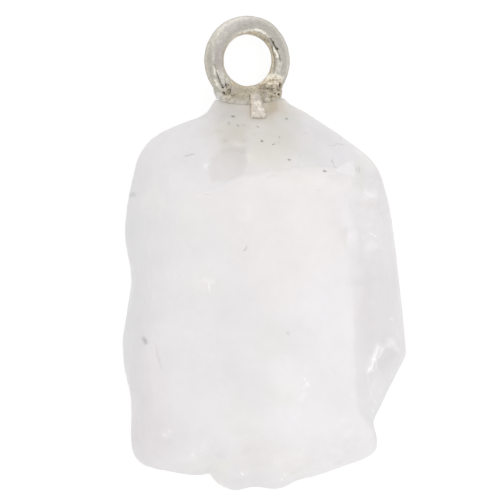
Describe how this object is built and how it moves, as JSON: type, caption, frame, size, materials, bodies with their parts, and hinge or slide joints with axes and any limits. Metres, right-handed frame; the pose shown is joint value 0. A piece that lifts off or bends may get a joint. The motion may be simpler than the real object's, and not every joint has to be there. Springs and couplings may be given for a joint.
{
  "type": "moonstone pendant",
  "caption": "Rough tumbled moonstone pendant with a silver wire ring soldered to a peg in the stone's neck, for hanging on a cord or chain.",
  "frame": {"origin": "under the middle of the pendant's outline, on the flat cleavage face that it lies on", "axes": "+Y along the pendant towards the ring, +X to the right seen from the front, +Z out of the front face"},
  "size_m": [0.0198, 0.0332, 0.0105],
  "materials": {
    "moonstone": "rough tumbled, milky and translucent",
    "silver": "satin silver wire with granular solder"
  },
  "bodies": {
    "root": {"stone": "moonstone", "ring": "silver"}
  },
  "joints": []
}
